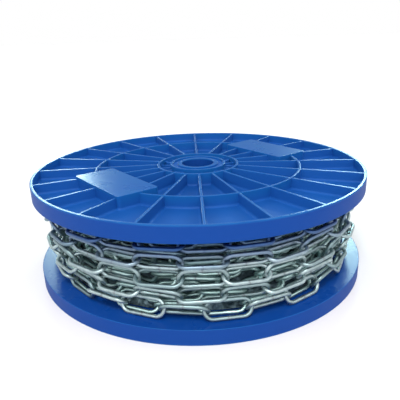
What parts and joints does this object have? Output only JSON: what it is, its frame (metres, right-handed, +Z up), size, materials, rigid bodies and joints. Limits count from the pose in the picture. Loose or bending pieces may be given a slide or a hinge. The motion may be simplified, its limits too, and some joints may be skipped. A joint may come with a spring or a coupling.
{
  "type": "reel of welded steel chain",
  "caption": "Flat plastic reel with two ribbed round flanges, a through bore and two bare label pads, wound full of long-link welded zinc-plated steel chain.",
  "frame": {"origin": "centre of the reel's underside, on the surface it lies on", "axes": "+Z up along the reel's axis, from the lower flange to the upper one; -Y is the front, where the first rib of each flange lies"},
  "size_m": [0.3, 0.3, 0.094],
  "materials": {
    "flange_plastic": "moulded, slightly glossy",
    "drum_plastic": "moulded, slightly glossy",
    "chain_steel": "bright zinc plated",
    "chain_core": "zinc plated, hidden"
  },
  "bodies": {
    "root": {"upper_flange": "flange_plastic", "lower_flange": "flange_plastic", "drum": "drum_plastic", "chain_outer_layer": "chain_steel", "chain_inner_layers": "chain_core"}
  },
  "joints": []
}
